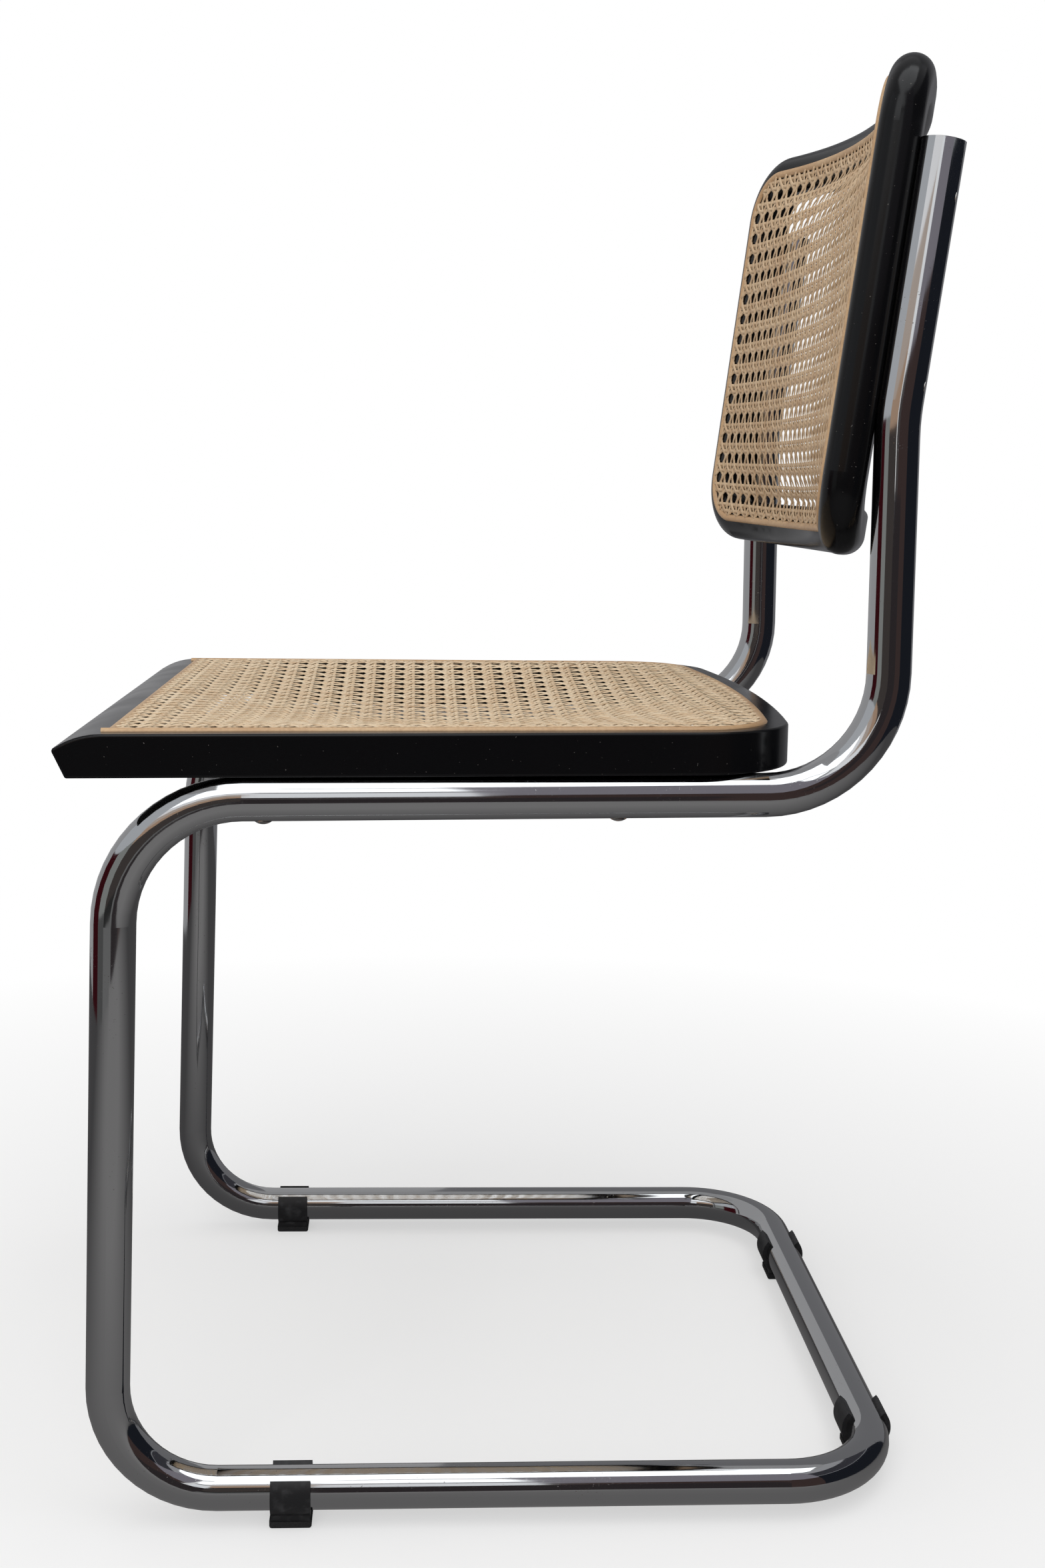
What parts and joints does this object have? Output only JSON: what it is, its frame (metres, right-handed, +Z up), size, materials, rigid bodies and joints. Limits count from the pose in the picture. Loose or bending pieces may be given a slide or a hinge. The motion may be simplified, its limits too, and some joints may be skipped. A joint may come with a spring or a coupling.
{
  "type": "cantilever chair",
  "caption": "Armless cantilever side chair: one bent chromed tube carries a lacquered wood seat frame and a bowed back frame, both with woven cane panels.",
  "frame": {"origin": "on the floor, at the middle of the chair's outer box, midway between the two floor runners", "axes": "+Z up, -Y the way the sitter faces, +X across the chair to the right as seen from in front"},
  "size_m": [0.459, 0.5027, 0.8352],
  "materials": {
    "tube_chrome": "polished",
    "plug_chrome": "polished",
    "clip_plastic": "matte",
    "felt": "matte",
    "lacquered_wood": "satin",
    "dowel_wood": "bare",
    "reed_spline": "satin",
    "seat_cane": "satin",
    "back_cane": "satin",
    "screw_steel": "plain"
  },
  "bodies": {
    "root": {"tube_frame": "tube_chrome", "tube_plug_right": "plug_chrome", "tube_plug_left": "plug_chrome", "seat_front_rail": "lacquered_wood", "seat_rim": "lacquered_wood", "seat_dowels": "dowel_wood", "seat_spline_front": "reed_spline", "seat_spline_rim": "reed_spline", "seat_cane": "seat_cane", "seat_screws": "screw_steel", "back_top_rail": "lacquered_wood", "back_bottom_rail": "lacquered_wood", "back_stile_right": "lacquered_wood", "back_stile_left": "lacquered_wood", "back_dowels": "dowel_wood", "back_spline": "reed_spline", "back_cane": "back_cane", "back_screws": "screw_steel", "glide_clip_front_right": "clip_plastic", "glide_felt_front_right": "felt", "glide_clip_front_left": "clip_plastic", "glide_felt_front_left": "felt", "glide_clip_rear_right": "clip_plastic", "glide_felt_rear_right": "felt", "glide_clip_rear_left": "clip_plastic", "glide_felt_rear_left": "felt"}
  },
  "joints": []
}
